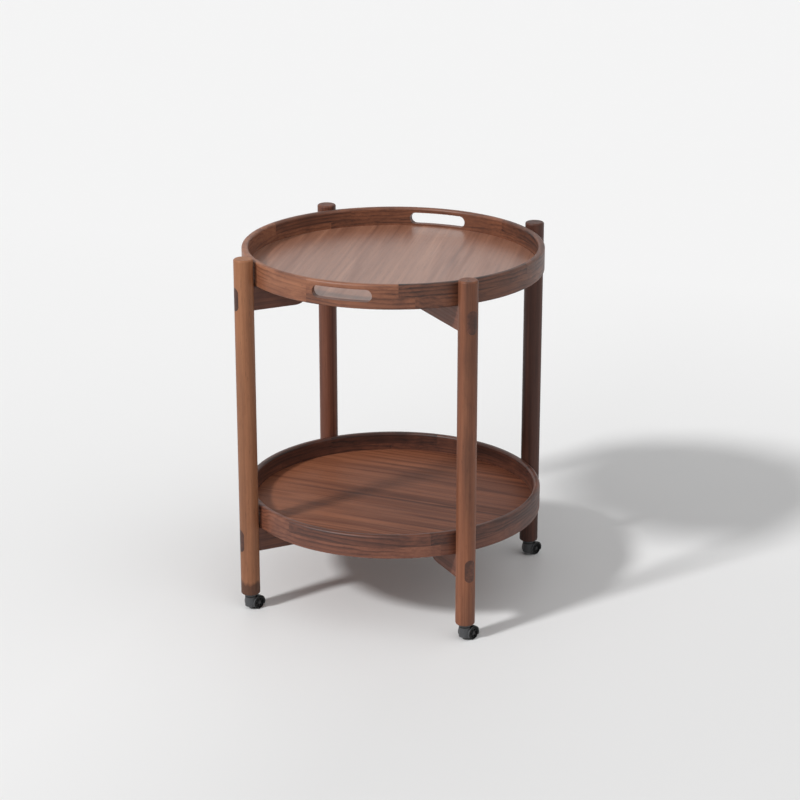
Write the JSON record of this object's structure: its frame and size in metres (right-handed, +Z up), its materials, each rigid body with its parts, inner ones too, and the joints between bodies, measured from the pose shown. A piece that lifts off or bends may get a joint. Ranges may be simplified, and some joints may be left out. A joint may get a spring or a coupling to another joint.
{
  "type": "room service table",
  "caption": "Two-tier round walnut serving trolley: lift-off rimmed trays on crossed folding rails between round legs with swivel castors.",
  "frame": {"origin": "on the floor under the centre of the trays, where the fold axis meets it", "axes": "+Z up; -Y to the front handle slot, +Y to the back handle slot; legs on the diagonals; +X to the right"},
  "size_m": [0.5, 0.5, 0.6105],
  "materials": {
    "leg_walnut": "oiled walnut, fine pores",
    "rail_walnut": "oiled dark walnut",
    "rim_walnut": "oiled walnut, laid up in blocks",
    "floor_veneer": "satin walnut veneer",
    "castor_plastic": "moulded, matt",
    "wheel_nylon": "moulded, satin",
    "washer_nylon": "natural nylon",
    "steel": "bright zinc"
  },
  "bodies": {
    "main_frame": {"front_left_leg": "leg_walnut", "back_right_leg": "leg_walnut", "main_upper_rail": "rail_walnut", "main_lower_rail": "rail_walnut", "upper_pivot_sleeve": "steel", "upper_pivot_bolt": "steel", "upper_pivot_washer": "washer_nylon", "lower_pivot_sleeve": "steel", "lower_pivot_bolt": "steel", "lower_pivot_washer": "washer_nylon", "front_left_castor_socket": "castor_plastic", "back_right_castor_socket": "castor_plastic"},
    "cross_frame": {"front_right_leg": "leg_walnut", "back_left_leg": "leg_walnut", "cross_upper_rail": "rail_walnut", "cross_lower_rail": "rail_walnut", "front_right_castor_socket": "castor_plastic", "back_left_castor_socket": "castor_plastic"},
    "upper_tray": {"upper_tray_top_course": "rim_walnut", "upper_tray_foot_course": "rim_walnut", "upper_tray_floor": "floor_veneer"},
    "lower_tray": {"lower_tray_top_course": "rim_walnut", "lower_tray_foot_course": "rim_walnut", "lower_tray_floor": "floor_veneer"},
    "front_left_castor": {"front_left_castor_stem": "steel", "front_left_castor_grip_ring": "steel", "front_left_castor_hood": "castor_plastic", "front_left_castor_axle": "steel"},
    "front_left_left_wheel": {"front_left_castor_left_wheel": "wheel_nylon"},
    "front_left_right_wheel": {"front_left_castor_right_wheel": "wheel_nylon"},
    "front_right_castor": {"front_right_castor_stem": "steel", "front_right_castor_grip_ring": "steel", "front_right_castor_hood": "castor_plastic", "front_right_castor_axle": "steel"},
    "front_right_left_wheel": {"front_right_castor_left_wheel": "wheel_nylon"},
    "front_right_right_wheel": {"front_right_castor_right_wheel": "wheel_nylon"},
    "back_right_castor": {"back_right_castor_stem": "steel", "back_right_castor_grip_ring": "steel", "back_right_castor_hood": "castor_plastic", "back_right_castor_axle": "steel"},
    "back_right_left_wheel": {"back_right_castor_left_wheel": "wheel_nylon"},
    "back_right_right_wheel": {"back_right_castor_right_wheel": "wheel_nylon"},
    "back_left_castor": {"back_left_castor_stem": "steel", "back_left_castor_grip_ring": "steel", "back_left_castor_hood": "castor_plastic", "back_left_castor_axle": "steel"},
    "back_left_left_wheel": {"back_left_castor_left_wheel": "wheel_nylon"},
    "back_left_right_wheel": {"back_left_castor_right_wheel": "wheel_nylon"}
  },
  "joints": [
    {"name": "base_fold", "type": "hinge", "parent": "main_frame", "child": "cross_frame", "pos_m": [0, 0, 0.3], "axis": [0, 0, 1], "range_deg": [-78, 78]},
    {"name": "upper_tray_lift", "type": "slide", "parent": "main_frame", "child": "upper_tray", "axis": [0, 0, 1], "range_m": [0, 0.1]},
    {"name": "lower_tray_lift", "type": "slide", "parent": "main_frame", "child": "lower_tray", "axis": [0, 0, 1], "range_m": [0, 0.3]},
    {"name": "front_left_swivel", "type": "hinge", "parent": "main_frame", "child": "front_left_castor", "pos_m": [-0.1888, -0.1888, 0.026], "axis": [0, 0, 1], "continuous": true},
    {"name": "front_left_left_roll", "type": "hinge", "parent": "front_left_castor", "child": "front_left_left_wheel", "pos_m": [-0.18499, -0.18064, 0.011], "axis": [-0.9063, 0.4226, 0], "continuous": true},
    {"name": "front_left_right_roll", "type": "hinge", "parent": "front_left_castor", "child": "front_left_right_wheel", "pos_m": [-0.18499, -0.18064, 0.011], "axis": [-0.9063, 0.4226, 0], "continuous": true},
    {"name": "front_right_swivel", "type": "hinge", "parent": "cross_frame", "child": "front_right_castor", "pos_m": [0.1888, -0.1888, 0.026], "axis": [0, 0, 1], "continuous": true},
    {"name": "front_right_left_roll", "type": "hinge", "parent": "front_right_castor", "child": "front_right_left_wheel", "pos_m": [0.1926, -0.18064, 0.011], "axis": [-0.9063, 0.4226, 0], "continuous": true},
    {"name": "front_right_right_roll", "type": "hinge", "parent": "front_right_castor", "child": "front_right_right_wheel", "pos_m": [0.1926, -0.18064, 0.011], "axis": [-0.9063, 0.4226, 0], "continuous": true},
    {"name": "back_right_swivel", "type": "hinge", "parent": "main_frame", "child": "back_right_castor", "pos_m": [0.1888, 0.1888, 0.026], "axis": [0, 0, 1], "continuous": true},
    {"name": "back_right_left_roll", "type": "hinge", "parent": "back_right_castor", "child": "back_right_left_wheel", "pos_m": [0.1926, 0.19695, 0.011], "axis": [-0.9063, 0.4226, 0], "continuous": true},
    {"name": "back_right_right_roll", "type": "hinge", "parent": "back_right_castor", "child": "back_right_right_wheel", "pos_m": [0.1926, 0.19695, 0.011], "axis": [-0.9063, 0.4226, 0], "continuous": true},
    {"name": "back_left_swivel", "type": "hinge", "parent": "cross_frame", "child": "back_left_castor", "pos_m": [-0.1888, 0.1888, 0.026], "axis": [0, 0, 1], "continuous": true},
    {"name": "back_left_left_roll", "type": "hinge", "parent": "back_left_castor", "child": "back_left_left_wheel", "pos_m": [-0.18499, 0.19695, 0.011], "axis": [-0.9063, 0.4226, 0], "continuous": true},
    {"name": "back_left_right_roll", "type": "hinge", "parent": "back_left_castor", "child": "back_left_right_wheel", "pos_m": [-0.18499, 0.19695, 0.011], "axis": [-0.9063, 0.4226, 0], "continuous": true}
  ]
}
